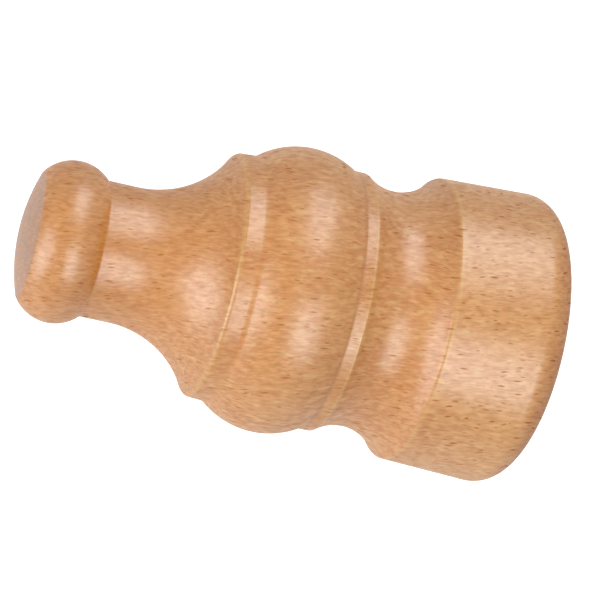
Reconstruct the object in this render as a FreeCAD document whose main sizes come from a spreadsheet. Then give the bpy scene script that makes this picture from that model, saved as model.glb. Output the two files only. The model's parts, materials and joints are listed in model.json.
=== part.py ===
import FreeCAD, Part

# Curtain pole finial: one piece of beech, turned on a lathe, with a blind socket in its base that fits
# over the pole.
#
# Millimetres. X is the turning axis. The socket's mouth lies in the plane X = 0 with its centre at the
# origin, the pole leaves along +X, and the finial runs along -X to its knob. The members, from the mouth
# to the knob, are the base, the cove, the ring, the bead, the band, the bell, the neck and the knob.

import math
import os

import Sketcher

NODE = "turned_finial"

# Driving sizes. Lengths run along the axis, one member after the other, and diameters are across it.
SIZES = {
    "pole_diameter": 28.0,
    "pole_clearance": 0.2,
    "socket_depth": 20.0,
    "socket_ease": 0.3,
    "base_wall": 7.1,
    "base_length": 17.3,
    "base_flare": 0.9,
    "base_rounding": 4.1,
    "corner_rounding": 0.8,
    "cove_length": 11.1,
    "cove_depth": 2.4,
    "ring_diameter": 37.2,
    "ring_length": 1.8,
    "ring_rounding": 0.4,
    "bead_length": 13.6,
    "bead_bulge": 2.25,
    "band_diameter": 35.0,
    "band_length": 2.8,
    "lip_diameter": 34.6,
    "lip_rounding": 0.8,
    "bell_length": 12.8,
    "neck_diameter": 19.1,
    "neck_length": 4.1,
    "knob_diameter": 22.6,
    "knob_length": 10.3,
    "knob_rounding": 5.7,
    "face_diameter": 17.8,
}

# Sizes that follow from the driving ones, as formulas on the sheet
SOCKET_RADIUS = "Sizes.pole_diameter / 2 + Sizes.pole_clearance"
BASE_RADIUS = SOCKET_RADIUS + " + Sizes.base_wall"
CORNER_RADIUS = BASE_RADIUS + " - Sizes.base_flare"
RING_RADIUS = "Sizes.ring_diameter / 2"
BAND_RADIUS = "Sizes.band_diameter / 2"
LIP_RADIUS = "Sizes.lip_diameter / 2"
NECK_RADIUS = "Sizes.neck_diameter / 2"
KNOB_RADIUS = "Sizes.knob_diameter / 2"
FACE_RADIUS = "Sizes.face_diameter / 2"

# The same radii as numbers, for the sketches' first guess and for finding the edges to round
SOCKET = SIZES["pole_diameter"] / 2 + SIZES["pole_clearance"]
BASE = SOCKET + SIZES["base_wall"]
CORNER = BASE - SIZES["base_flare"]
RING = SIZES["ring_diameter"] / 2
BAND = SIZES["band_diameter"] / 2
LIP = SIZES["lip_diameter"] / 2
NECK = SIZES["neck_diameter"] / 2
KNOB = SIZES["knob_diameter"] / 2
FACE = SIZES["face_diameter"] / 2

# A sketch's origin and horizontal axis, and the points of its lines and arcs
ORIGIN = H_AXIS = -1
START, END, CENTRE = range(1, 4)

FULL_TURN = 360.0
EDGE_TOLERANCE = 1e-3


def point(x, y):
    return FreeCAD.Vector(x, y, 0.0)


def arc_radius_formula(length, rise, bulge):
    """The radius of an arc whose chord spans length by rise and whose middle stands bulge away from it."""
    return f"(({length})^2 + ({rise})^2 + 4 * ({bulge})^2) / (8 * ({bulge}))"


def bulged_arc(first, last, bulge):
    """An arc, counter-clockwise from first to last, whose middle stands bulge away from their chord."""
    along = last.sub(first)
    outward = point(along.y, -along.x).normalize()
    middle = first.add(last).multiply(0.5).add(outward.multiply(bulge))
    return Part.Arc(first, middle, last)


def make_sheet(doc):
    sheet = doc.addObject("Spreadsheet::Sheet", "Sizes")
    for row, (name, value) in enumerate(SIZES.items(), start=1):
        sheet.set(f"A{row}", name.replace("_", " "))
        sheet.set(f"B{row}", str(value))
        sheet.setAlias(f"B{row}", name)
    doc.recompute()


def new_sketch(body, name):
    """A sketch on the body's XZ plane, so that its horizontal axis is the turning axis."""
    sketch = body.newObject("Sketcher::SketchObject", name)
    plane = next(feature for feature in body.Origin.OriginFeatures if feature.Role == "XZ_Plane")
    sketch.AttachmentSupport = [(plane, "")]
    sketch.MapMode = "FlatFace"
    return sketch


def bind(sketch, name, kind, where, formula, guess):
    """Adds a named dimension to the sketch and ties it to the sheet."""
    index = sketch.addConstraint(Sketcher.Constraint(kind, *where, guess))
    sketch.renameConstraint(index, name)
    sketch.setExpression(f"Constraints.{name}", formula)


def profile_corners():
    """The corners of the turned profile, in order from the mouth to the middle of the knob's face."""
    corners = {"mouth": point(0.0, BASE)}
    x = 0.0
    for name, length, radius in (
        ("corner", "base_length", CORNER),
        ("ring", "cove_length", RING),
        ("valley", "ring_length", RING),
        ("band", "bead_length", BAND),
        ("lip", "band_length", LIP),
        ("bell", "bell_length", NECK),
        ("root", "neck_length", NECK),
        ("apex", "knob_length", 0.0),
    ):
        x -= SIZES[length]
        corners[name] = point(x, radius)
    return corners


def profile_shapes(at):
    """The lines and arcs of the profile, each near its place. The constraints then settle them."""
    bell_rise = LIP - NECK
    bell_chord = math.hypot(SIZES["bell_length"], bell_rise)
    bell_bulge = bell_chord / 2 * math.tan(math.atan2(bell_rise, SIZES["bell_length"]) / 2)
    # the round side of the knob runs from its root over its crown to the rim of its domed face
    rounding = SIZES["knob_rounding"]
    middle = KNOB - rounding
    crown = point(at["root"].x - math.sqrt(rounding**2 - (NECK - middle) ** 2), KNOB)
    rim = point(crown.x - math.sqrt(rounding**2 - (FACE - middle) ** 2), FACE)
    dome_middle = point(at["apex"].x + (rim.x - at["apex"].x) / 4, FACE / 2)
    return {
        "mouth_face": Part.LineSegment(point(0.0, 0.0), at["mouth"]),
        "base_side": Part.LineSegment(at["mouth"], at["corner"]),
        "cove": bulged_arc(at["ring"], at["corner"], SIZES["cove_depth"]),
        "ring_side": Part.LineSegment(at["ring"], at["valley"]),
        "bead": bulged_arc(at["valley"], at["band"], SIZES["bead_bulge"]),
        "band_side": Part.LineSegment(at["band"], at["lip"]),
        "bell": bulged_arc(at["bell"], at["lip"], bell_bulge),
        "neck_side": Part.LineSegment(at["bell"], at["root"]),
        "knob_side": Part.Arc(at["root"], crown, rim),
        "knob_face": Part.Arc(rim, dome_middle, at["apex"]),
        "axis": Part.LineSegment(at["apex"], point(0.0, 0.0)),
        "crown": Part.Point(crown),
    }


def draw_profile(body, corners):
    """The sketch of the turned outside, from the axis at the mouth to the axis at the knob's face."""
    sketch = new_sketch(body, "TurnedProfile")
    shapes = profile_shapes(corners)
    g = {name: sketch.addGeometry(shape, name == "crown") for name, shape in shapes.items()}

    for first, first_end, second, second_end in (
        ("mouth_face", END, "base_side", START),
        ("base_side", END, "cove", END),
        ("cove", START, "ring_side", START),
        ("ring_side", END, "bead", START),
        ("bead", END, "band_side", START),
        ("band_side", END, "bell", END),
        ("neck_side", END, "knob_side", START),
        ("knob_side", END, "knob_face", START),
        ("knob_face", END, "axis", START),
        ("axis", END, "mouth_face", START),
    ):
        sketch.addConstraint(Sketcher.Constraint("Coincident", g[first], first_end, g[second], second_end))
    for name in ("ring_side", "neck_side", "axis"):
        sketch.addConstraint(Sketcher.Constraint("Horizontal", g[name]))
    sketch.addConstraint([
        Sketcher.Constraint("Coincident", g["mouth_face"], START, ORIGIN, START),
        Sketcher.Constraint("Vertical", g["mouth_face"]),
        Sketcher.Constraint("Tangent", g["bell"], START, g["neck_side"], START),
        Sketcher.Constraint("PointOnObject", g["knob_face"], CENTRE, H_AXIS),
        Sketcher.Constraint("PointOnObject", g["crown"], START, g["knob_side"]),
        Sketcher.Constraint("Vertical", g["crown"], START, g["knob_side"], CENTRE),
    ])

    for name, left, left_end, right, right_end in (
        ("base_length", "base_side", END, "base_side", START),
        ("cove_length", "cove", START, "cove", END),
        ("ring_length", "ring_side", END, "ring_side", START),
        ("bead_length", "bead", END, "bead", START),
        ("band_length", "band_side", END, "band_side", START),
        ("bell_length", "bell", START, "bell", END),
        ("neck_length", "neck_side", END, "neck_side", START),
        ("knob_length", "axis", START, "neck_side", END),
    ):
        where = (g[left], left_end, g[right], right_end)
        bind(sketch, name, "DistanceX", where, f"Sizes.{name}", SIZES[name])
    for name, shape, end, formula, guess in (
        ("base_radius", "base_side", START, BASE_RADIUS, BASE),
        ("corner_radius", "base_side", END, CORNER_RADIUS, CORNER),
        ("ring_radius", "ring_side", START, RING_RADIUS, RING),
        ("band_radius", "band_side", START, BAND_RADIUS, BAND),
        ("lip_radius", "band_side", END, LIP_RADIUS, LIP),
        ("neck_radius", "neck_side", START, NECK_RADIUS, NECK),
        ("knob_radius", "crown", START, KNOB_RADIUS, KNOB),
        ("face_radius", "knob_face", START, FACE_RADIUS, FACE),
    ):
        bind(sketch, name, "DistanceY", (ORIGIN, START, g[shape], end), formula, guess)
    cove_arc = arc_radius_formula("Sizes.cove_length", f"{CORNER_RADIUS} - {RING_RADIUS}", "Sizes.cove_depth")
    bead_arc = arc_radius_formula("Sizes.bead_length", f"{RING_RADIUS} - {BAND_RADIUS}", "Sizes.bead_bulge")
    bind(sketch, "cove_arc", "Radius", (g["cove"],), cove_arc, sketch.Geometry[g["cove"]].Radius)
    bind(sketch, "bead_arc", "Radius", (g["bead"],), bead_arc, sketch.Geometry[g["bead"]].Radius)
    knob_rounding = SIZES["knob_rounding"]
    bind(sketch, "knob_rounding", "Radius", (g["knob_side"],), "Sizes.knob_rounding", knob_rounding)
    return sketch


def draw_socket(body):
    """The sketch of the bored socket: a plain round wall, a flat floor and an eased edge at the mouth."""
    sketch = new_sketch(body, "SocketProfile")
    ease = SIZES["socket_ease"]
    depth = SIZES["socket_depth"]
    outline = [
        point(0.0, 0.0),
        point(0.0, SOCKET + ease),
        point(-ease, SOCKET),
        point(-depth, SOCKET),
        point(-depth, 0.0),
    ]
    mouth, eased_edge, wall, floor, axis = [
        sketch.addGeometry(Part.LineSegment(first, last), False)
        for first, last in zip(outline, outline[1:] + outline[:1])
    ]
    sides = (mouth, eased_edge, wall, floor, axis)
    for first, second in zip(sides, sides[1:] + sides[:1]):
        sketch.addConstraint(Sketcher.Constraint("Coincident", first, END, second, START))
    sketch.addConstraint([
        Sketcher.Constraint("Coincident", mouth, START, ORIGIN, START),
        Sketcher.Constraint("Vertical", mouth),
        Sketcher.Constraint("Horizontal", wall),
        Sketcher.Constraint("Vertical", floor),
        Sketcher.Constraint("Horizontal", axis),
    ])
    bind(sketch, "socket_radius", "DistanceY", (ORIGIN, START, wall, START), SOCKET_RADIUS, SOCKET)
    bind(sketch, "ease_out", "DistanceY", (eased_edge, END, eased_edge, START), "Sizes.socket_ease", ease)
    bind(sketch, "ease_in", "DistanceX", (eased_edge, END, eased_edge, START), "Sizes.socket_ease", ease)
    bind(sketch, "socket_depth", "DistanceX", (floor, END, ORIGIN, START), "Sizes.socket_depth", depth)
    return sketch


def turn(body, kind, name, sketch):
    """Revolves a sketch about the turning axis, as wood added or wood cut away."""
    feature = body.newObject(kind, name)
    feature.Profile = sketch
    feature.ReferenceAxis = (sketch, ["H_Axis"])
    feature.Angle = FULL_TURN
    body.Document.recompute()


def circle_edge(shape, corner):
    """The name of the round edge that a profile's corner has turned into."""
    for index, edge in enumerate(shape.Edges, start=1):
        curve = edge.Curve
        if not isinstance(curve, Part.Circle):
            continue
        if abs(curve.Center.x - corner.x) < EDGE_TOLERANCE and abs(curve.Radius - corner.y) < EDGE_TOLERANCE:
            return f"Edge{index}"
    raise RuntimeError(f"no round edge at {corner}")


def round_edge(body, name, corner, size):
    """Rounds one turned edge by the named size."""
    base = body.Tip
    feature = body.newObject("PartDesign::Fillet", name)
    feature.Base = (base, [circle_edge(base.Shape, corner)])
    feature.setExpression("Radius", f"Sizes.{size}")
    body.Document.recompute()


def make_finial(doc):
    body = doc.addObject("PartDesign::Body", "Finial")
    body.Label = NODE
    corners = profile_corners()
    turn(body, "PartDesign::Revolution", "Turning", draw_profile(body, corners))
    for name, corner, size in (
        ("BaseRounding", "mouth", "base_rounding"),
        ("CornerRounding", "corner", "corner_rounding"),
        ("RingRounding", "ring", "ring_rounding"),
        ("LipRounding", "lip", "lip_rounding"),
    ):
        round_edge(body, name, corners[corner], size)
    unbored = body.Tip.Shape.Volume
    turn(body, "PartDesign::Groove", "Socket", draw_socket(body))
    bored_away = unbored - body.Tip.Shape.Volume
    if bored_away < math.pi * SOCKET**2 * SIZES["socket_depth"]:
        raise RuntimeError(f"the socket took away only {bored_away:.0f} mm3")
    return body


def check(doc, body):
    """Stops if any object of the document failed or the solid is not whole."""
    doc.recompute()
    for item in doc.Objects:
        if {"Invalid", "Error"} & set(item.State):
            raise RuntimeError(f"{item.Name} failed: {item.State}")
    if body.Shape.isNull() or not body.Shape.isValid() or len(body.Shape.Solids) != 1:
        raise RuntimeError(f"{body.Label} is not one valid solid")


def main():
    doc = FreeCAD.newDocument("CurtainPoleFinial")
    make_sheet(doc)
    body = make_finial(doc)
    check(doc, body)
    os.makedirs("parts", exist_ok=True)
    body.Shape.exportStep(f"parts/{NODE}.step")
    box = body.Shape.optimalBoundingBox()
    size = f"{box.XLength:.2f} x {box.YLength:.2f} x {box.ZLength:.2f} mm"
    print(f"{NODE}: {size}, {body.Shape.Volume:.0f} mm3")


main()
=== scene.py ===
import json
import math
from itertools import accumulate

import bpy
import numpy as np
from mathutils import Matrix, Vector
from mathutils.geometry import intersect_line_sphere_2d


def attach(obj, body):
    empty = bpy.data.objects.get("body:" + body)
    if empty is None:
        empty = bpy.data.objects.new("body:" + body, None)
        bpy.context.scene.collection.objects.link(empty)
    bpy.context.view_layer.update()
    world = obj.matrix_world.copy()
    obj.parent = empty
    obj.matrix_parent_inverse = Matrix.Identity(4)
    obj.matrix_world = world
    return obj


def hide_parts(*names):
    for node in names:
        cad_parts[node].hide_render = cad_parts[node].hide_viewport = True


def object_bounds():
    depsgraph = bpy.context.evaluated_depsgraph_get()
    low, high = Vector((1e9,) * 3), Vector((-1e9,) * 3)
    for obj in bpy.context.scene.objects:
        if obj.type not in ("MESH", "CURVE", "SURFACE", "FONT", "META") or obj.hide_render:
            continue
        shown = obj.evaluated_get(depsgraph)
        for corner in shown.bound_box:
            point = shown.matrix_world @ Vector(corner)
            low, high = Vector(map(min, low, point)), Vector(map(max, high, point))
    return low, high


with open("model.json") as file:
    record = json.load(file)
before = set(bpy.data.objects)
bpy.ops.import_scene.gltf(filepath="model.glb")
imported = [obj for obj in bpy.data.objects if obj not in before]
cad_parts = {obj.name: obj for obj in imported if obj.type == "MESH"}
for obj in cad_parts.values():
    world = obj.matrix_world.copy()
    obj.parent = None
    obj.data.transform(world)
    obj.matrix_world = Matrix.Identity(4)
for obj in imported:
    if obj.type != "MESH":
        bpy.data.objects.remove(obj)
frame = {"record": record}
CAD_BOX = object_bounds()

bl_info = {
    "name": "Curtain Pole Finial",
    "version": (1, 0, 0),
    "blender": (4, 5, 0),
    "location": "View3D > Sidebar > Finial",
    "description": "Turns a lacquered beech finial for a curtain pole and sets it on a plain studio floor",
    "category": "Object",
}

# Metres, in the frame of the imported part: X is the turning axis, the mouth of the pole's socket lies at the
# origin, the pole leaves along +X and the knob points along -X.
MM = 0.001
NODE = "turned_finial"
BODY = "root"

SOCKET_MOUNT = frame["record"]["mounts"][0]
SOCKET_RADIUS = SOCKET_MOUNT["dims"]["r_mm"] * MM
SOCKET_EASE = -SOCKET_MOUNT["pos_m"][0]
SOCKET_DEPTH = SOCKET_MOUNT["dims"]["length_mm"] * MM + SOCKET_EASE

# The lathe: the steps of a full turn, of an arc and of a straight run, and what counts as the same point
TURN_STEPS = 256
ARC_STEP = math.radians(3.5)
FEWEST_ARC_STEPS = 8
STRAIGHT_STEP = 2.0 * MM
SAME_POINT = 0.002 * MM
SHARP_ANGLE = math.radians(12.0)
TURNING_AXIS = (1.0, 0.0, 0.0)
PROFILE_NORMAL = (0.0, 1.0, 0.0)
BLANK_SIZE = 1.0 * MM

# Sides on which a rounding lies: cut from the wood, or filling a crease
INSIDE = -1
OUTSIDE = 1

# The photograph's frame, and a point near the middle of the finial's axis with its pixel in that frame
PHOTO_PIXELS = 600.0
PHOTO_SPOT = (297.906, 293.398)
AXIS_MIDDLE = -33.81 * MM
SENSOR_WIDTH = 36.0
NEAR_CLIP = 10.0 * MM

WHITE = (1.0, 1.0, 1.0, 1.0)

# Dashes: the smallest and largest as a share of the middling one, how pointed their ends are,
# and the chance from which a dash has its full strength
SMALLEST_DASH = 0.5
LARGEST_DASH = 1.4
SPINDLE_POINT = 1.3
FULL_STRENGTH = 0.7
NOISE_MEAN = (0.5, 0.5, 0.5)

# The figure's cells, in millimetres along the grain, across it and along the rays
DRIFT_CELL = (22.0, 9.0, 9.0)
DRIFT_REACH = (1.0, 2.4, 2.4)
RIPPLE_CELL = (2.4, 1.3, 2.4)
RIPPLE_REACH = (0.7, 0.42, 0.4)
PATCH_CELL = (14.0, 6.0, 6.0)
BLOTCH_CELL = (1.7, 0.70, 1.3)
TINT_CELL = (2.3, 0.80, 1.7)
FIBRE_CELL = (1.4, 0.30, 1.0)
FLECK_CELL = (2.1, 0.40, 4.5)
FAINT_FLECK_CELL = (1.7, 0.38, 3.5)
PALE_DASH_CELL = (2.1, 0.50, 5.0)
FIBRE_DETAIL = 3.0

# Each kind of dash: its core and edge as shares of a cell, and the chance below which a cell stays empty
FLECK_SHAPE = (0.16, 0.29, 0.10)
FAINT_FLECK_SHAPE = (0.12, 0.40, 0.05)
PALE_DASH_SHAPE = (0.06, 0.42, 0.25)

# How strongly each part of the figure shows
PATCH_SHARE = 0.35
BLOTCH_SHARE = 0.65
PALE_DASH_STRENGTH = 0.6
FLECK_STRENGTH = 0.92
FAINT_FLECK_STRENGTH = 0.5
FLECK_SINK = 0.6
END_GRAIN_HEIGHT = 0.6

# Stretches of the noise, or of how squarely the wood is cut across, over which a colour comes in
CLOUD_RANGE = (0.36, 0.66)
TINT_RANGE = (0.48, 0.85)
SLANT_RANGE = (0.45, 0.90)
SLANT_SHARES = (0.0, 0.35)
END_GRAIN_RANGE = (0.86, 0.92)
SOAKED_RANGE = (0.35, 0.65)
SOAKED_SHARES = (1.0, 0.6)
TONE_RANGE = (0.25, 0.75)
TONES = (0.88, 1.10)

# Stretches along the grain, in millimetres, over which the colour turns deeper towards the knob, paler
# towards the base, and the flecks crowd towards the base
DEEP_STRETCH = (-60.0, -34.0)
DEEP_SHARES = (0.45, 0.0)
PALE_STRETCH = (-22.0, -12.0)
PALE_SHARES = (0.0, 0.2)
CROWDED_STRETCH = (-20.0, -12.0)
CROWDING = (0.85, 1.45)

# Painted lines round the finial, a painted highlight along the edges and painted shade in the valley beside
# the ring: half widths, the share of one at full strength, and how patchy they are
EDGE_HIGHLIGHT_WIDTH = 0.42 * MM
EDGE_HIGHLIGHT_CORNER_SHIFT = 0.35 * MM
VALLEY_SHADE_WIDTH = 0.45 * MM
LINE_CORE = 0.3
LINE_FIBRES = (0.3, 0.7)
LINE_STRENGTHS = (0.15, 0.5)

# The lacquer: one gloss layer of high index and low weight, so that the rims stay the colour of the wood
LACQUER_INDEX = 2.4
LACQUER_HEIGHTS = (-0.1, 0.75)
LACQUER_WEIGHTS = (0.22, 0.62)
WOOD_GLOSS = 0.0
DULL_HEIGHTS = (-0.1, 0.7)
DULLER_BY = 0.25
GRAIN_BUMP = 0.24
GRAIN_DEPTH = 0.05 * MM

# The bored socket: the pitch of the bit's rings, how they stand against the grain, and the bare wood's sheen
BORE_PITCH = 0.45 * MM
BORE_RING_HEIGHT = 0.25
BORE_BUMP = 0.5
BORE_DEPTH = 0.08 * MM
BARE_FIBRES = (0.2, 0.8)
BARE_ROUGHNESS = (0.70, 0.82)
BARE_GLOSS = 0.3


def length(name, description, millimetres):
    """A length in the sidebar, written in millimetres."""
    return bpy.props.FloatProperty(
        name=name, description=description, default=millimetres * MM, min=0.0,
        precision=5, subtype="DISTANCE", unit="LENGTH")


def angle(name, description, degrees):
    """An angle in the sidebar, written in degrees."""
    return bpy.props.FloatProperty(
        name=name, description=description, default=math.radians(degrees),
        subtype="ANGLE", unit="ROTATION")


def colour(name, description, red, green, blue):
    """A colour in the sidebar, as linear red, green and blue."""
    return bpy.props.FloatVectorProperty(
        name=name, description=description, default=(red, green, blue, 1.0), size=4,
        min=0.0, max=1.0, subtype="COLOR")


def share(name, description, value):
    """A share between nought and one in the sidebar."""
    return bpy.props.FloatProperty(
        name=name, description=description, default=value, min=0.0, max=1.0, subtype="FACTOR")


class FinialSizes(bpy.types.PropertyGroup):
    """The turned members, from the mouth of the socket to the knob."""

    base_wall: length("Base wall", "Wood round the socket at the mouth", 7.1)
    base_length: length("Base length", "From the mouth to the corner of the base", 17.3)
    base_flare: length("Base flare", "How far the base widens from its corner to the mouth", 0.9)
    base_rounding: length("Base rounding", "Radius of the rim round the mouth", 4.1)
    corner_rounding: length("Corner rounding", "Radius at the corner of the base", 0.8)
    cove_length: length("Cove length", "From the corner of the base to the ring", 11.1)
    cove_depth: length("Cove depth", "How deep the cove is below its two edges", 2.4)
    ring_radius: length("Ring radius", "Radius of the ring beside the cove", 18.6)
    ring_length: length("Ring length", "Width of the ring", 1.8)
    ring_rounding: length("Ring rounding", "Radius at the ring's edge", 0.4)
    bead_length: length("Bead length", "From the ring to the band", 13.6)
    bead_bulge: length("Bead bulge", "How far the bead stands above its two edges", 2.25)
    band_radius: length("Band radius", "Radius of the band beside the bead", 17.5)
    band_length: length("Band length", "From the bead to the lip of the bell", 2.8)
    lip_radius: length("Lip radius", "Radius of the bell's lip", 17.3)
    lip_rounding: length("Lip rounding", "Radius at the bell's lip", 0.8)
    bell_length: length("Bell length", "From the lip to the neck", 12.8)
    neck_radius: length("Neck radius", "Radius of the neck", 9.55)
    neck_length: length("Neck length", "From the bell to the root of the knob", 4.1)
    knob_radius: length("Knob radius", "Radius of the knob at its widest", 11.3)
    knob_length: length("Knob length", "From the root of the knob to its tip", 10.3)
    knob_rounding: length("Knob rounding", "Radius of the knob's round side", 5.7)
    face_radius: length("Face radius", "Radius of the domed face at the knob's end", 8.9)
    ring_crease: length("Ring crease", "Radius of the fine hollow between the ring and the bead", 0.8)
    band_crease: length("Band crease", "Radius of the fine hollow between the bead and the band", 1.8)
    knob_crease: length("Knob crease", "Radius of the fine hollow at the root of the knob", 0.5)


class BeechLook(bpy.types.PropertyGroup):
    """Colours and figure of the beech and its lacquer."""

    honey: colour("Honey", "Most of the lacquered wood", 0.68, 0.298, 0.082)
    amber: colour("Amber", "Deeper blotches of the lacquered wood", 0.585, 0.208, 0.037)
    straw: colour("Straw", "Paler blotches of the lacquered wood", 0.745, 0.4, 0.145)
    end_grain: colour("End grain", "Wood cut across its fibres, soaked with lacquer", 0.46, 0.225, 0.125)
    fleck: colour("Flecks", "Ends of the rays, seen as short dark dashes", 0.46, 0.14, 0.012)
    # Painted highlight: a pale line laid along the edges of the corner, ring and lip
    edge_highlight_colour: colour("Painted edge highlight", "Wood at edges where the lacquer is rubbed thin", 0.72, 0.41, 0.12)
    # Painted shade: a dark line laid in the valley beside the ring
    valley_shade_colour: colour("Painted crease shade", "Wood in the valley beside the ring", 0.42, 0.15, 0.035)
    # Painted shade: a tint that darkens the rounding round the mouth
    rim_shade_tint: colour("Painted rim shade", "Tint that deepens the rim round the mouth", 0.84, 0.70, 0.50)
    bare: colour("Bare wood", "Bored wood in the socket", 0.66, 0.46, 0.29)
    bare_deep: colour("Bare wood, deeper", "Deeper patches of the bored wood", 0.55, 0.35, 0.20)
    bare_pale: colour("Bare wood, paler", "Paler blotches of the bored wood", 0.72, 0.53, 0.35)
    bare_fleck: colour("Bare flecks", "Flecks of the bored wood", 0.33, 0.19, 0.10)
    grain_drift: angle("Grain drift", "How far the grain runs out of the turning axis", 8.4)
    ray_tilt: angle("Ray tilt", "How high the rays point, on the side away from +Y", 62.0)
    lacquer_roughness: share("Lacquer roughness", "Roughness of the clear lacquer", 0.36)
    wood_roughness: share("Wood roughness", "Roughness of the grain that shows through the lacquer", 0.38)


class StudioSettings(bpy.types.PropertyGroup):
    """Floor, lamps and camera."""

    floor_size: length("Floor size", "Side of the square floor", 3000.0)
    floor_reach: length("Floor reach", "How far the floor goes on past the mouth, along the pole", 250.0)
    floor_drop: length("Floor drop", "How far the floor lies below the finial's axis", 250.0)
    floor_white: share("Floor white", "How white the floor is to the camera without the lamps", 0.82)
    floor_grey: colour("Floor grey", "Colour of the floor under the lamps", 0.7, 0.7, 0.7)
    ambient: share("Ambient", "Light that the room puts on the finial from all round", 0.15)
    lamp_tint: colour("Lamp tint", "Colour of the lamps, a little cool", 0.94, 0.98, 1.0)
    lamp_distance: length("Lamp distance", "From the middle of the finial to each lamp", 800.0)
    lens: bpy.props.FloatProperty(
        name="Lens", description="Focal length for a frame 36 mm wide", default=126.475, min=1.0,
        subtype="DISTANCE_CAMERA", unit="CAMERA")
    view_distance: length("View distance", "From the camera to the axis, along the view", 296.49)
    view_elevation: angle("View elevation", "How far the camera looks down", 62.0)
    view_swing: angle("View swing", "How far the camera is swung towards the knob", 14.1987)
    view_roll: angle("View roll", "How far the axis drops to the right in the picture", 12.3773)


# Lamps: name, azimuth and elevation in degrees as seen from the finial, width and height in metres,
# power in watts, and whether the lacquer's gloss shows the lamp
LAMPS = (
    ("key_lamp", 167.5, 58.0, 0.40, 0.80, 3.3, True),
    ("front_lamp", 12.3, 34.0, 0.40, 0.66, 3.2, True),
    ("side_lamp", -67.7, 8.0, 0.50, 0.70, 3.9, True),
    ("back_fill", 178.0, 14.0, 1.44, 0.80, 1.2, False),
)


def bow_centre(start, end, bow):
    """Centre of the arc from start to end that stands out from its chord by bow, or in if bow is negative."""
    chord = end - start
    outward = Vector((chord.y, -chord.x)).normalized()
    half = chord.length / 2
    return (start + end) / 2 + outward * (bow - (half ** 2 + bow ** 2) / (2 * bow))


def round_outer_corner(before, corner, after, radius):
    """Touch point, centre and touch point of the rounding between two straight runs."""
    back = (before - corner).normalized()
    ahead = (after - corner).normalized()
    half_angle = back.angle(ahead) / 2
    reach = radius / math.tan(half_angle)
    centre = corner + (back + ahead).normalized() * radius / math.sin(half_angle)
    return corner + back * reach, centre, corner + ahead * reach


def round_beside_arc(corner, along, arc_centre, radius, side):
    """Touch point on the straight run, centre, and touch point on the arc of the rounding where they meet.

    The side is INSIDE for a rounding cut from the wood and OUTSIDE for a fine hollow that fills a crease.
    """
    run = (along - corner).normalized()
    outward = Vector((run.y, -run.x))
    if outward.y < 0:
        outward.negate()
    arc_radius = (corner - arc_centre).length
    offset = outward * radius * side
    crossings = intersect_line_sphere_2d(
        corner + offset, along + offset, arc_centre, arc_radius + radius, False)
    centre = min(crossings, key=lambda crossing: (crossing - corner).length)
    on_arc = arc_centre + (centre - arc_centre).normalized() * arc_radius
    return centre - offset, centre, on_arc


def member_places(sizes):
    """Where each turned member ends along the axis, from the corner of the base to the tip of the knob."""
    lengths = {
        "corner": sizes.base_length,
        "ring": sizes.cove_length,
        "valley": sizes.ring_length,
        "band": sizes.bead_length,
        "lip": sizes.band_length,
        "bell": sizes.bell_length,
        "root": sizes.neck_length,
        "tip": sizes.knob_length,
    }
    return dict(zip(lengths, (-reach for reach in accumulate(lengths.values()))))


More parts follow.
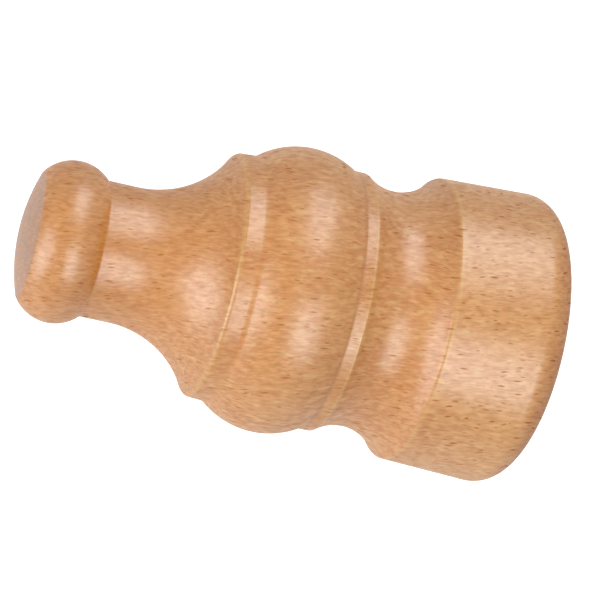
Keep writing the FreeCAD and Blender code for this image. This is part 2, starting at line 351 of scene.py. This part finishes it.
def profile_runs(sizes):
    """The half profile from the socket's floor to the knob's tip: end points with arc centres or None."""
    socket_floor = Vector((-SOCKET_DEPTH, SOCKET_RADIUS))
    ease_start = Vector((-SOCKET_EASE, SOCKET_RADIUS))
    ease_end = Vector((0.0, SOCKET_RADIUS + SOCKET_EASE))
    mouth = Vector((0.0, SOCKET_RADIUS + sizes.base_wall))
    ends = member_places(sizes)
    corner = Vector((ends["corner"], mouth.y - sizes.base_flare))
    ring = Vector((ends["ring"], sizes.ring_radius))
    valley = Vector((ends["valley"], sizes.ring_radius))
    band = Vector((ends["band"], sizes.band_radius))
    lip = Vector((ends["lip"], sizes.lip_radius))
    bell = Vector((ends["bell"], sizes.neck_radius))
    root = Vector((ends["root"], sizes.neck_radius))
    tip = Vector((ends["tip"], 0.0))

    cove_centre = bow_centre(corner, ring, -sizes.cove_depth)
    bead_centre = bow_centre(valley, band, sizes.bead_bulge)
    bell_rise = lip.y - bell.y
    bell_radius = (sizes.bell_length ** 2 + bell_rise ** 2) / (2 * bell_rise)
    bell_centre = Vector((bell.x, bell.y + bell_radius))
    knob_middle = sizes.knob_radius - sizes.knob_rounding
    knob_reach = math.sqrt(sizes.knob_rounding ** 2 - (root.y - knob_middle) ** 2)
    knob_centre = Vector((root.x - knob_reach, knob_middle))
    face_reach = math.sqrt(sizes.knob_rounding ** 2 - (sizes.face_radius - knob_middle) ** 2)
    face_edge = Vector((knob_centre.x - face_reach, sizes.face_radius))
    face_rise = face_edge.x - tip.x
    face_bow = (face_edge.y ** 2 + face_rise ** 2) / (2 * face_rise)
    face_centre = Vector((tip.x + face_bow, 0.0))

    rim_face, rim_centre, rim_wall = round_outer_corner(ease_end, mouth, corner, sizes.base_rounding)
    corner_wall, corner_centre, corner_cove = round_beside_arc(
        corner, mouth, cove_centre, sizes.corner_rounding, INSIDE)
    ring_flat, ring_centre, ring_cove = round_beside_arc(
        ring, valley, cove_centre, sizes.ring_rounding, INSIDE)
    lip_band, lip_centre, lip_bell = round_beside_arc(lip, band, bell_centre, sizes.lip_rounding, INSIDE)
    valley_ring, valley_centre, valley_bead = round_beside_arc(
        valley, ring, bead_centre, sizes.ring_crease, OUTSIDE)
    band_lip, band_centre, band_bead = round_beside_arc(band, lip, bead_centre, sizes.band_crease, OUTSIDE)
    root_neck, root_centre, root_knob = round_beside_arc(
        root, bell, knob_centre, sizes.knob_crease, OUTSIDE)

    return (
        (Vector((-SOCKET_DEPTH, 0.0)), None),
        (socket_floor, None),
        (ease_start, None),
        (ease_end, None),
        (rim_face, None),
        (rim_wall, rim_centre),
        (corner_wall, None),
        (corner_cove, corner_centre),
        (ring_cove, cove_centre),
        (ring_flat, ring_centre),
        (valley_ring, None),
        (valley_bead, valley_centre),
        (band_bead, bead_centre),
        (band_lip, band_centre),
        (lip_band, None),
        (lip_bell, lip_centre),
        (bell, bell_centre),
        (root_neck, None),
        (root_knob, root_centre),
        (face_edge, knob_centre),
        (tip, face_centre),
    )


def draw_run(start, end, centre):
    """Draw one run on from the profile's last point: a straight one by extruding, an arc by spinning."""
    if centre is None:
        steps = max(1, round((end - start).length / STRAIGHT_STEP))
        move = (end - start) / steps
        for _ in range(steps):
            bpy.ops.mesh.extrude_vertices_move(TRANSFORM_OT_translate={"value": (move.x, 0.0, move.y)})
        return
    turn = (end - centre).angle_signed(start - centre)
    steps = max(FEWEST_ARC_STEPS, math.ceil(abs(turn) / ARC_STEP))
    bpy.ops.mesh.spin(
        steps=steps, angle=turn, center=(centre.x, 0.0, centre.y), axis=PROFILE_NORMAL)


def turn_profile(runs):
    """Draw the half profile point by point and spin it into a closed solid."""
    bpy.ops.object.select_all(action="DESELECT")
    bpy.ops.mesh.primitive_plane_add(size=BLANK_SIZE, location=(0.0, 0.0, 0.0))
    piece = bpy.context.object
    bpy.ops.object.mode_set(mode="EDIT")
    bpy.ops.mesh.select_mode(type="VERT")
    bpy.ops.mesh.merge(type="CENTER")
    start = runs[0][0]
    bpy.ops.transform.translate(value=(start.x, 0.0, start.y))
    for end, centre in runs[1:]:
        draw_run(start, end, centre)
        start = end
    bpy.ops.mesh.select_all(action="SELECT")
    bpy.ops.mesh.spin(
        steps=TURN_STEPS, angle=2 * math.pi, center=(0.0, 0.0, 0.0), axis=TURNING_AXIS)
    bpy.ops.mesh.select_all(action="SELECT")
    bpy.ops.mesh.remove_doubles(threshold=SAME_POINT)
    bpy.ops.mesh.normals_make_consistent(inside=False)
    bpy.ops.object.mode_set(mode="OBJECT")
    bpy.ops.object.shade_smooth_by_angle(angle=SHARP_ANGLE)
    return piece


def grain_axes(look):
    """Turns the part's axes into the wood's: along the grain, across the rays and along the rays."""
    rays = Vector((0.0, -math.cos(look.ray_tilt), math.sin(look.ray_tilt)))
    grain = Matrix.Rotation(look.grain_drift, 3, rays) @ Vector(TURNING_AXIS)
    across = rays.cross(grain)
    return Matrix((grain, across, rays))


def mark_end_grain(piece):
    """Keep on each point how squarely the wood is cut across there."""
    mesh = piece.data
    normals = np.empty(len(mesh.vertices) * 3, dtype=np.float32)
    mesh.vertex_normals.foreach_get("vector", normals)
    cut = np.abs(normals.reshape(-1, 3)[:, 0])
    mesh.attributes.new("end_grain", "FLOAT", "POINT").data.foreach_set("value", cut)


def wear_two_woods(piece, outside, inside):
    """Lacquered wood outside, and bare bored wood on the socket's wall and floor."""
    mesh = piece.data
    mesh.materials.append(outside)
    mesh.materials.append(inside)
    centres = np.empty(len(mesh.polygons) * 3, dtype=np.float32)
    mesh.polygons.foreach_get("center", centres)
    along, side, up = centres.reshape(-1, 3).T
    in_socket = (np.hypot(side, up) < SOCKET_RADIUS) & (along > -SOCKET_DEPTH - SAME_POINT)
    mesh.polygons.foreach_set("material_index", in_socket.astype(np.int32))


def add_node(tree, kind, sockets=None, **settings):
    """Add a node, set its options and fill its input sockets with values or links."""
    made = tree.nodes.new(kind)
    for option, value in settings.items():
        setattr(made, option, value)
    for socket, value in (sockets or {}).items():
        if isinstance(value, bpy.types.NodeSocket):
            tree.links.new(value, made.inputs[socket])
        else:
            made.inputs[socket].default_value = value
    return made


def math_node(tree, operation, first, second=0.0):
    """The value of a sum, product or other operation on two values."""
    return add_node(tree, "ShaderNodeMath", {0: first, 1: second}, operation=operation).outputs[0]


def blend(tree, factor, first, second, blend_type="MIX"):
    """A colour between two colours, or their product with MULTIPLY."""
    sockets = {"Factor": factor, 6: first, 7: second}
    return add_node(tree, "ShaderNodeMix", sockets, data_type="RGBA", blend_type=blend_type).outputs[2]


def ramp(tree, value, low, high, to_low=0.0, to_high=1.0):
    """A smooth step from one value to another as the input goes from low to high."""
    sockets = {"Value": value, 1: low, 2: high, 3: to_low, 4: to_high}
    return add_node(tree, "ShaderNodeMapRange", sockets, interpolation_type="SMOOTHSTEP").outputs[0]


def stretched(tree, place, cell):
    """Coordinates counted in cells, whose sides are in millimetres."""
    sockets = {0: place, 1: [1 / side for side in cell]}
    return add_node(tree, "ShaderNodeVectorMath", sockets, operation="MULTIPLY").outputs[0]


def dashes(tree, place, cell, core, edge, empty_below):
    """Spindle-shaped dashes, one at most in each stretched cell, with sizes and strengths of their own."""
    sockets = {"Vector": stretched(tree, place, cell), "Scale": 1.0, "Exponent": SPINDLE_POINT}
    cells = add_node(tree, "ShaderNodeTexVoronoi", sockets, distance="MINKOWSKI")
    chance = add_node(tree, "ShaderNodeSeparateColor", {"Color": cells.outputs["Color"]})
    size = ramp(tree, chance.outputs[1], 0.0, 1.0, SMALLEST_DASH, LARGEST_DASH)
    reach = math_node(tree, "DIVIDE", cells.outputs["Distance"], size)
    shape = ramp(tree, reach, core, edge, 1.0, 0.0)
    strength = ramp(tree, chance.outputs[0], empty_below, FULL_STRENGTH)
    return math_node(tree, "MULTIPLY", shape, strength)


def noise(tree, place, cell, detail=2.0):
    """Cloudy noise in stretched cells, about a half on average."""
    sockets = {"Vector": stretched(tree, place, cell), "Scale": 1.0, "Detail": detail}
    return add_node(tree, "ShaderNodeTexNoise", sockets).outputs["Fac"]


def wander(tree, place, cell, reach):
    """Places pushed about by soft noise, so that what is drawn on them strays from a straight course."""
    sockets = {"Vector": stretched(tree, place, cell), "Scale": 1.0, "Detail": 1.0}
    push = add_node(tree, "ShaderNodeTexNoise", sockets).outputs["Color"]
    centred = add_node(tree, "ShaderNodeVectorMath", {0: push, 1: NOISE_MEAN}, operation="SUBTRACT")
    sockets = {0: centred.outputs[0], 1: reach, 2: place}
    return add_node(tree, "ShaderNodeVectorMath", sockets, operation="MULTIPLY_ADD").outputs[0]


def make_beech_figure():
    """The figure of beech, its patches, blotches, fibres and flecks, as a colour, a height and the fibres."""
    group = bpy.data.node_groups.new("beech_figure", "ShaderNodeTree")
    face = group.interface
    face.new_socket("Place", in_out="INPUT", socket_type="NodeSocketVector")
    for name in ("Wood", "Deep Wood", "Pale Wood", "End Grain", "Fleck"):
        face.new_socket(name, in_out="INPUT", socket_type="NodeSocketColor")
    face.new_socket("Cut", in_out="INPUT", socket_type="NodeSocketFloat")
    face.new_socket("Color", in_out="OUTPUT", socket_type="NodeSocketColor")
    face.new_socket("Height", in_out="OUTPUT", socket_type="NodeSocketFloat")
    face.new_socket("Fibre", in_out="OUTPUT", socket_type="NodeSocketFloat")
    given = add_node(group, "NodeGroupInput").outputs

    place = wander(group, given["Place"], DRIFT_CELL, DRIFT_REACH)
    place = wander(group, place, RIPPLE_CELL, RIPPLE_REACH)
    patches = noise(group, place, PATCH_CELL)
    blotches = noise(group, place, BLOTCH_CELL)
    tints = noise(group, place, TINT_CELL)
    fibres = noise(group, place, FIBRE_CELL, FIBRE_DETAIL)
    flecks = dashes(group, place, FLECK_CELL, *FLECK_SHAPE)
    faint_flecks = dashes(group, place, FAINT_FLECK_CELL, *FAINT_FLECK_SHAPE)
    pale_dashes = dashes(group, place, PALE_DASH_CELL, *PALE_DASH_SHAPE)

    cloud = math_node(group, "ADD", math_node(group, "MULTIPLY", patches, PATCH_SHARE),
                      math_node(group, "MULTIPLY", blotches, BLOTCH_SHARE))
    wood = blend(group, ramp(group, cloud, *CLOUD_RANGE), given["Wood"], given["Deep Wood"])
    pale = math_node(group, "MAXIMUM", ramp(group, tints, *TINT_RANGE),
                     math_node(group, "MULTIPLY", pale_dashes, PALE_DASH_STRENGTH))
    wood = blend(group, pale, wood, given["Pale Wood"])
    slant = ramp(group, given["Cut"], *SLANT_RANGE, *SLANT_SHARES)
    along = add_node(group, "ShaderNodeSeparateXYZ", {"Vector": given["Place"]}).outputs["X"]
    deeper = math_node(group, "MAXIMUM", slant, ramp(group, along, *DEEP_STRETCH, *DEEP_SHARES))
    wood = blend(group, deeper, wood, given["Deep Wood"])
    wood = blend(group, ramp(group, along, *PALE_STRETCH, *PALE_SHARES), wood, given["Pale Wood"])
    across = ramp(group, given["Cut"], *END_GRAIN_RANGE)
    soaked = math_node(group, "MULTIPLY", across, ramp(group, tints, *SOAKED_RANGE, *SOAKED_SHARES))
    wood = blend(group, soaked, wood, given["End Grain"])
    tone = ramp(group, fibres, *TONE_RANGE, *TONES)
    toned = add_node(group, "ShaderNodeVectorMath", {0: wood, 3: tone}, operation="SCALE").outputs[0]
    dark = math_node(group, "MAXIMUM", math_node(group, "MULTIPLY", flecks, FLECK_STRENGTH),
                     math_node(group, "MULTIPLY", faint_flecks, FAINT_FLECK_STRENGTH))
    crowding = ramp(group, along, *CROWDED_STRETCH, *CROWDING)
    finished = blend(group, math_node(group, "MULTIPLY", dark, crowding), toned, given["Fleck"])

    height = math_node(group, "SUBTRACT", fibres, math_node(group, "MULTIPLY", flecks, FLECK_SINK))
    height = math_node(group, "MAXIMUM", height, math_node(group, "MULTIPLY", across, END_GRAIN_HEIGHT))
    add_node(group, "NodeGroupOutput", {"Color": finished, "Height": height, "Fibre": fibres})
    return group


def place_in_wood(tree, look):
    """The part's coordinates in millimetres, turned onto the grain."""
    where = add_node(tree, "ShaderNodeTexCoord")
    return add_node(tree, "ShaderNodeMapping", {
        "Vector": where.outputs["Object"],
        "Rotation": grain_axes(look).to_euler(),
        "Scale": (1 / MM, 1 / MM, 1 / MM)}).outputs[0]


def new_material(name):
    """An empty node material with its output."""
    material = bpy.data.materials.new(name)
    material.use_nodes = True
    material.node_tree.nodes.clear()
    return material, material.node_tree, add_node(material.node_tree, "ShaderNodeOutputMaterial")


def lay_figure(tree, figure, look, colours):
    """Place the beech figure in a material with its own colours."""
    cut = add_node(tree, "ShaderNodeAttribute", attribute_name="end_grain")
    sockets = {"Place": place_in_wood(tree, look), "Cut": cut.outputs["Fac"], **colours}
    return add_node(tree, "ShaderNodeGroup", sockets, node_tree=figure).outputs


def place_along_axis(tree):
    """How far along the turning axis a point lies, in metres."""
    where = add_node(tree, "ShaderNodeTexCoord").outputs["Object"]
    return add_node(tree, "ShaderNodeSeparateXYZ", {"Vector": where}).outputs["X"]


def lines_round(tree, places, half_width):
    """Soft lines round the finial at places along its axis."""
    along = place_along_axis(tree)
    mask = None
    for place in places:
        off = math_node(tree, "ABSOLUTE", math_node(tree, "SUBTRACT", along, place))
        line = ramp(tree, off, LINE_CORE * half_width, half_width, 1.0, 0.0)
        mask = line if mask is None else math_node(tree, "MAXIMUM", mask, line)
    return mask


def make_lacquered_beech(figure, sizes, look):
    """Honey-coloured beech under a gloss lacquer, with a painted highlight along the edges, painted shade in
    the valley beside the ring and painted shade deepening the rim round the mouth.
    """
    material, tree, output = new_material("lacquered_beech_finish")
    wood = lay_figure(tree, figure, look, {
        "Wood": look.honey, "Deep Wood": look.amber, "Pale Wood": look.straw,
        "End Grain": look.end_grain, "Fleck": look.fleck})
    ends = member_places(sizes)
    patchy = ramp(tree, wood["Fibre"], *LINE_FIBRES, *LINE_STRENGTHS)
    # Painted highlight along the corner, ring and lip edges, painted shade in the valley beside the ring, and
    # painted shade deepening the rim round the mouth
    edges = (ends["corner"] + EDGE_HIGHLIGHT_CORNER_SHIFT, ends["ring"], ends["lip"])
    rubbed = lines_round(tree, edges, EDGE_HIGHLIGHT_WIDTH)
    valley_shade_mask = lines_round(tree, (ends["valley"],), VALLEY_SHADE_WIDTH)
    rim_shade_mask = lines_round(tree, (0.0,), sizes.base_rounding)
    colour_now = blend(tree, rim_shade_mask, wood["Color"], look.rim_shade_tint, "MULTIPLY")
    colour_now = blend(tree, math_node(tree, "MULTIPLY", valley_shade_mask, patchy), colour_now, look.valley_shade_colour)
    colour_now = blend(tree, math_node(tree, "MULTIPLY", rubbed, patchy), colour_now, look.edge_highlight_colour)
    broken = ramp(tree, wood["Height"], *LACQUER_HEIGHTS, *LACQUER_WEIGHTS)
    bump = add_node(tree, "ShaderNodeBump", {
        "Height": wood["Height"], "Strength": GRAIN_BUMP, "Distance": GRAIN_DEPTH})
    dullest = look.wood_roughness + DULLER_BY
    roughness = ramp(tree, wood["Height"], *DULL_HEIGHTS, dullest, look.wood_roughness)
    shader = add_node(tree, "ShaderNodeBsdfPrincipled", {
        "Base Color": colour_now,
        "Specular IOR Level": WOOD_GLOSS,
        "Roughness": roughness,
        "Normal": bump.outputs[0],
        "Coat Weight": broken,
        "Coat Roughness": look.lacquer_roughness,
        "Coat IOR": LACQUER_INDEX})
    tree.links.new(shader.outputs[0], output.inputs["Surface"])
    return material


def make_bored_beech(figure, look):
    """Bare beech with the fine rings that a boring bit leaves."""
    material, tree, output = new_material("bored_beech")
    wood = lay_figure(tree, figure, look, {
        "Wood": look.bare, "Deep Wood": look.bare_deep, "Pale Wood": look.bare_pale,
        "End Grain": look.bare_deep, "Fleck": look.bare_fleck})
    turns = math_node(tree, "MULTIPLY", place_along_axis(tree), 2 * math.pi / BORE_PITCH)
    rings = math_node(tree, "MULTIPLY", math_node(tree, "SINE", turns), BORE_RING_HEIGHT)
    height = math_node(tree, "ADD", wood["Height"], rings)
    bump = add_node(tree, "ShaderNodeBump", {
        "Height": height, "Strength": BORE_BUMP, "Distance": BORE_DEPTH})
    roughness = ramp(tree, wood["Fibre"], *BARE_FIBRES, *BARE_ROUGHNESS)
    shader = add_node(tree, "ShaderNodeBsdfPrincipled", {
        "Base Color": wood["Color"],
        "Roughness": roughness,
        "Normal": bump.outputs[0],
        "Specular IOR Level": BARE_GLOSS})
    tree.links.new(shader.outputs[0], output.inputs["Surface"])
    return material


class FINIAL_OT_turned_finial(bpy.types.Operator):
    """Turn the finial from its profile and finish it in lacquered beech"""

    bl_idname = "finial.turned_finial"
    bl_label = "Turned Finial"
    bl_options = {"REGISTER", "UNDO"}

    def execute(self, context):
        sizes = context.scene.finial_sizes
        look = context.scene.finial_look
        piece = turn_profile(profile_runs(sizes))
        piece.name = "finial_turning"
        piece.data.name = "finial_turning"
        mark_end_grain(piece)
        figure = make_beech_figure()
        wear_two_woods(piece, make_lacquered_beech(figure, sizes, look), make_bored_beech(figure, look))
        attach(piece, BODY)
        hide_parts(NODE)
        return {"FINISHED"}


def seen(tree):
    """One where a backdrop is seen directly, in a gloss or through glass, and nought for other light."""
    path = add_node(tree, "ShaderNodeLightPath").outputs
    direct_or_gloss = math_node(tree, "MAXIMUM", path["Is Camera Ray"], path["Is Glossy Ray"])
    return math_node(tree, "MAXIMUM", direct_or_gloss, path["Is Transmission Ray"])


def lay_floor(settings):
    """A square pale floor under the finial, white to the camera but for the finial's soft shadow."""
    bpy.ops.object.select_all(action="DESELECT")
    bpy.ops.mesh.primitive_plane_add(size=settings.floor_size)
    floor = bpy.context.object
    floor.name = "studio_floor"
    bpy.ops.object.mode_set(mode="EDIT")
    bpy.ops.mesh.select_all(action="SELECT")
    middle = settings.floor_reach - settings.floor_size / 2
    bpy.ops.transform.translate(value=(middle, 0.0, -settings.floor_drop))
    bpy.ops.object.mode_set(mode="OBJECT")
    material, tree, output = new_material("pale_floor")
    white = math_node(tree, "MULTIPLY", seen(tree), settings.floor_white)
    matt = add_node(tree, "ShaderNodeBsdfDiffuse", {"Color": settings.floor_grey})
    glow = add_node(tree, "ShaderNodeEmission", {"Color": WHITE, "Strength": white})
    both = add_node(tree, "ShaderNodeAddShader", {0: matt.outputs[0], 1: glow.outputs[0]})
    tree.links.new(both.outputs[0], output.inputs["Surface"])
    floor.data.materials.append(material)


def light_room(settings):
    """A room that is white to see and puts a little even light on the finial."""
    world = bpy.data.worlds.new("pale_room")
    bpy.context.scene.world = world
    world.use_nodes = True
    tree = world.node_tree
    tree.nodes.clear()
    strength = math_node(tree, "MAXIMUM", seen(tree), settings.ambient)
    room = add_node(tree, "ShaderNodeBackground", {"Color": WHITE, "Strength": strength})
    output = add_node(tree, "ShaderNodeOutputWorld")
    tree.links.new(room.outputs[0], output.inputs["Surface"])


def hang_lamps(settings):
    """Soft box lamps round the finial, aimed at its middle."""
    middle = (CAD_BOX[0] + CAD_BOX[1]) / 2
    for name, azimuth, elevation, width, height, power, in_gloss in LAMPS:
        around = math.radians(azimuth)
        above = math.radians(elevation)
        towards = Vector((
            math.sin(around) * math.cos(above), -math.cos(around) * math.cos(above), math.sin(above)))
        bpy.ops.object.light_add(type="AREA", location=middle + towards * settings.lamp_distance)
        lamp = bpy.context.object
        lamp.name = name
        lamp.rotation_euler = towards.to_track_quat("Z", "Y").to_euler()
        lamp.data.shape = "RECTANGLE"
        lamp.data.size = width
        lamp.data.size_y = height
        lamp.data.energy = power
        lamp.data.color = settings.lamp_tint[:3]
        lamp.visible_camera = False
        lamp.visible_glossy = in_gloss


def set_camera(settings):
    """The photograph's view: the knob swung towards the camera and the axis dropping to the right."""
    along = Vector(TURNING_AXIS)
    level = Vector((0.0, math.cos(settings.view_elevation), -math.sin(settings.view_elevation)))
    forward = along * math.sin(settings.view_swing) + level * math.cos(settings.view_swing)
    axis_across = along * math.cos(settings.view_swing) - level * math.sin(settings.view_swing)
    axis_below = forward.cross(axis_across)
    right = axis_across * math.cos(settings.view_roll) - axis_below * math.sin(settings.view_roll)
    down = axis_across * math.sin(settings.view_roll) + axis_below * math.cos(settings.view_roll)

    bpy.ops.object.camera_add()
    camera = bpy.context.object
    camera.name = "photo_camera"
    camera.data.sensor_width = SENSOR_WIDTH
    camera.data.lens = settings.lens
    pixels = settings.lens / SENSOR_WIDTH * PHOTO_PIXELS
    spot_right = (PHOTO_SPOT[0] - PHOTO_PIXELS / 2) / pixels
    spot_down = (PHOTO_SPOT[1] - PHOTO_PIXELS / 2) / pixels
    middle = Vector((AXIS_MIDDLE, 0.0, 0.0))
    place = middle - (right * spot_right + down * spot_down + forward) * settings.view_distance
    camera.matrix_world = Matrix.Translation(place) @ Matrix((right, -down, -forward)).transposed().to_4x4()
    camera.data.clip_start = NEAR_CLIP
    bpy.context.scene.camera = camera


class FINIAL_OT_stage(bpy.types.Operator):
    """Lay the pale floor, light the room and set the camera at the photograph's view"""

    bl_idname = "finial.stage"
    bl_label = "Studio Stage"
    bl_options = {"REGISTER", "UNDO"}

    def execute(self, context):
        settings = context.scene.finial_studio
        lay_floor(settings)
        light_room(settings)
        hang_lamps(settings)
        set_camera(settings)
        context.scene.view_settings.view_transform = "Standard"
        return {"FINISHED"}


class FINIAL_PT_sidebar(bpy.types.Panel):
    """Sizes, finish and stage of the finial"""

    bl_idname = "FINIAL_PT_sidebar"
    bl_label = "Curtain Pole Finial"
    bl_space_type = "VIEW_3D"
    bl_region_type = "UI"
    bl_category = "Finial"

    def draw(self, context):
        scene = context.scene
        for operator, group in (
            (FINIAL_OT_turned_finial, scene.finial_sizes),
            (None, scene.finial_look),
            (FINIAL_OT_stage, scene.finial_studio),
        ):
            box = self.layout.box()
            if operator is not None:
                box.operator(operator.bl_idname)
            for name in group.__annotations__:
                box.prop(group, name)


CLASSES = (
    FinialSizes,
    BeechLook,
    StudioSettings,
    FINIAL_OT_turned_finial,
    FINIAL_OT_stage,
    FINIAL_PT_sidebar,
)


def register():
    """Add the classes and their settings to Blender."""
    for cls in CLASSES:
        bpy.utils.register_class(cls)
    bpy.types.Scene.finial_sizes = bpy.props.PointerProperty(type=FinialSizes)
    bpy.types.Scene.finial_look = bpy.props.PointerProperty(type=BeechLook)
    bpy.types.Scene.finial_studio = bpy.props.PointerProperty(type=StudioSettings)


def unregister():
    """Take the settings and the classes out again."""
    del bpy.types.Scene.finial_studio
    del bpy.types.Scene.finial_look
    del bpy.types.Scene.finial_sizes
    for cls in reversed(CLASSES):
        bpy.utils.unregister_class(cls)


def main():
    register()
    bpy.ops.finial.turned_finial()
    bpy.ops.finial.stage()


if __name__ == "__main__":
    main()
